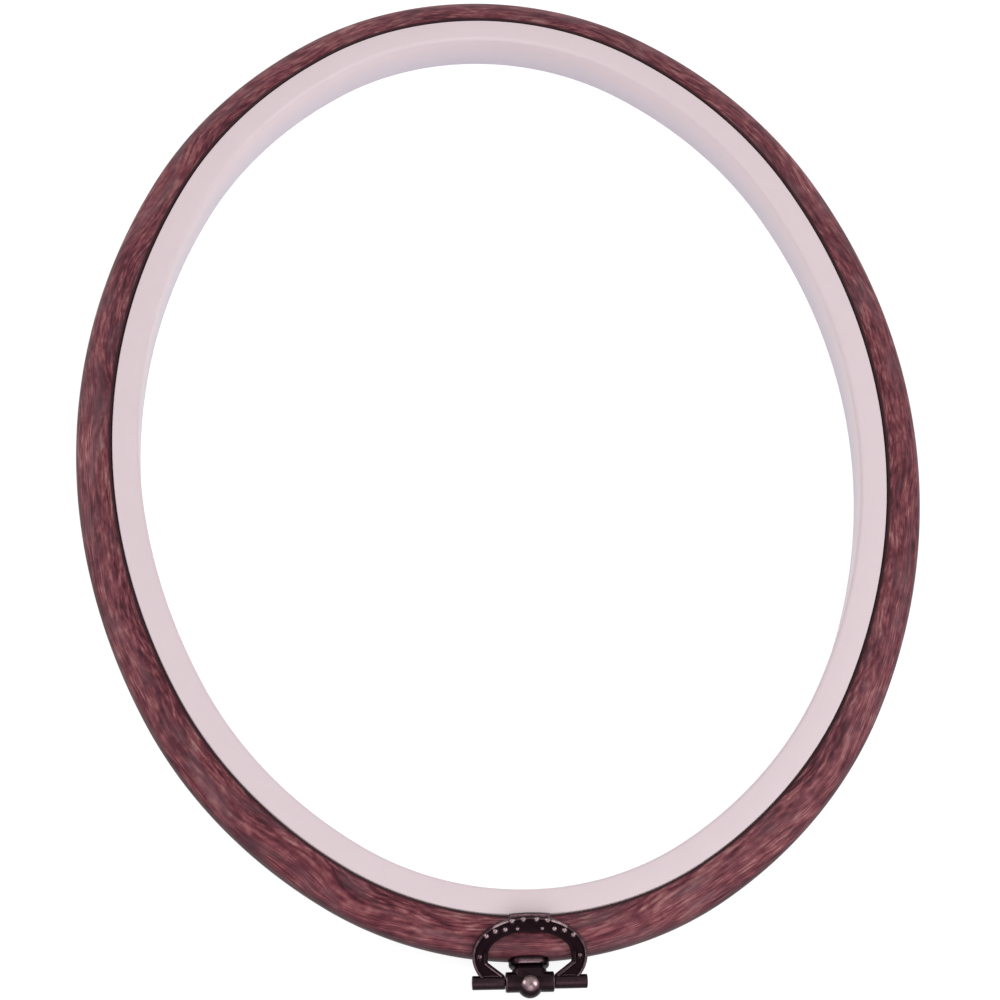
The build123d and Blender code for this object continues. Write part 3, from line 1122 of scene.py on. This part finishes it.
bmesh.ops.holes_fill(plate, edges=[e for e in plate.edges if e.is_boundary], sides=0)
bail = to_object(plate, "beaded_bail")
print("plate:", len(bail.data.polygons), "faces")

# %% [markdown]
# The knuckles are turned rods on the pin's line, the beads are small balls
# half sunk in the channel, and the lip is a flat shape pushed out behind the
# crown. Joined to the plate they make one casting, and the pin's bore is cut
# through it last. Each bead is placed by its shares of the bail's half width
# and length, followed by its radius in mm.

# %% Knuckles and beads
bead_places = [
    (0.115, 0.925, 0.58),
    (0.310, 0.905, 0.58),
    (0.215, 0.790, 0.45),
    (0.425, 0.783, 0.62),
    (0.600, 0.758, 0.66),
    (0.750, 0.690, 0.6),
    (0.865, 0.390, 0.62),
]
knuckle_start = 5.15 * mm
knuckle_radius = 1.45 * mm
knuckle_rounds = [(1, 0.12 * mm, 2), (2, 0.22 * mm, 3)]
knuckle_points = [
    (0, knuckle_start),
    (knuckle_radius, knuckle_start),
    (knuckle_radius, half_width),
    (0, half_width),
]
for side in (1, -1):
    knuckle = turned(knuckle_points, round_steps, (side, 0, 0), hinge, knuckle_rounds)
    combine(bail, knuckle, "UNION")

bail_columns = Matrix((bail_across, bail_along, bail_front)).transposed()
on_bail = Matrix.Translation(hinge) @ bail_columns.to_4x4()
beads = bmesh.new()
bead_balls = []
for across_share, along_share, radius in bead_places:
    radius *= mm
    for side in (1, -1):
        along = along_share * bail_length
        centre = Vector((side * across_share * half_width, along, channel_floor))
        made = bmesh.ops.create_uvsphere(beads, u_segments=24, v_segments=16, radius=radius)
        bmesh.ops.translate(beads, vec=centre, verts=made["verts"])
        bead_balls.append((centre, radius))
bmesh.ops.transform(beads, matrix=on_bail, verts=beads.verts[:])

# %% The lip behind the crown
lip_half = 4.2 * mm
lip_reach = 14.35 * mm
lip_drop = 0.23 * mm
lip_front = 0.15 * mm
lip_foot = 12.2 * mm
lip_set_in = 0.05 * mm
lip_edge = 0.12 * mm
bore_half = 14 * mm
lip_radius = (lip_half**2 + lip_drop**2) / (2 * lip_drop)
lip_turn = math.asin(lip_half / lip_radius)
lip_arc = arc_points(
    (0, lip_reach - lip_radius), lip_radius, right_angle - lip_turn, 2 * lip_turn, 16
)
lip_points = [*lip_arc, (-lip_half, lip_foot), (lip_half, lip_foot)]
lip = bmesh.new()
lip.faces.new([lip.verts.new((x, y, 0)) for x, y in lip_points])
lip_place = on_bail @ Matrix.Translation((0, 0, -half_thick + lip_set_in))
lip_depth = half_thick + lip_front - lip_set_in
combine(bail, pushed(lip, lip_depth, lip_edge, lip_edge, lip_place), "UNION")
combine(bail, to_object(beads, "beads"), "UNION")
drill(bail, pin_hole_radius, -bore_half, bore_half, (1, 0, 0), hinge)


# %% Where handling rubs the bail
def bail_rub_and_highlight(point):
    """Beads are rubbed most, then the lip and the raised lines, and the channel is black; the
    beads' and knuckles' upper sides and the raised line on the shoulders also carry painted
    highlights.
    """
    local = on_bail.inverted() @ point
    for centre, radius in bead_balls:
        outward = (local - centre) / radius
        if outward.length < 1.03:
            most = 0.66 if centre.y > widest_reach else 0.42
            # Painted highlight: each bead is lighter on its upper side, towards the lamps, and
            # black at its foot.
            upper = eased(0.5 * outward.y + 0.85 * outward.z, -0.1, 0.8)
            return most * upper * eased(outward.z, 0.02, 0.4)
    near_pin = math.hypot(local.y, local.z) < knuckle_radius + touching
    on_knuckle = near_pin and abs(local.x) > knuckle_start - touching
    on_lip = local.y > arch_length - 0.6 * mm and local.z < lip_front + touching
    on_raised_line = local.z > half_thick - 0.12 * mm
    below_channel = local.z < channel_floor - 0.1 * mm
    # Painted light: the knuckles are lighter on top than below.
    if on_knuckle:
        return 0.04 + 0.2 * eased(point.z - middle_height, 0, knuckle_radius)
    if on_lip:
        return 0.4 if abs(local.x) > lip_half - 0.3 * mm else 0.3
    if on_raised_line and local.y > 9 * mm:
        # Painted highlight: the raised line is brightest on the shoulders, where the lamps catch
        # it.
        on_shoulder = 4.5 * mm < abs(local.x) < 7.6 * mm
        return 0.62 if on_shoulder else 0.25
    if on_raised_line:
        from_middle = math.hypot(local.x, local.y - widest_reach)
        if from_middle < half_width - 1.5 * mm:
            return 0.36 if local.y < 4.2 * mm else 0.1
        return 0.34
    return 0.12 if below_channel else 0.0


paint_rub_and_highlight(bail, bail_rub_and_highlight)
settle(bail, bronze, "bail", "bail")

# %% [markdown]
# ## Pin, screw and washer
#
# These three are plain turned parts and the CAD solids already have their
# true shape, so they stay as they are and only get a finish.

# %% Finish the CAD nodes
finishes = {"hinge_pin": bronze, "fixing_screw": steel, "screw_washer": steel}
for node_name, material in finishes.items():
    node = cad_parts[node_name]
    if not node.material_slots:
        node.data.materials.append(material)
    for holder in node.material_slots:
        holder.material = material
    print(node_name, "gets", material.name)
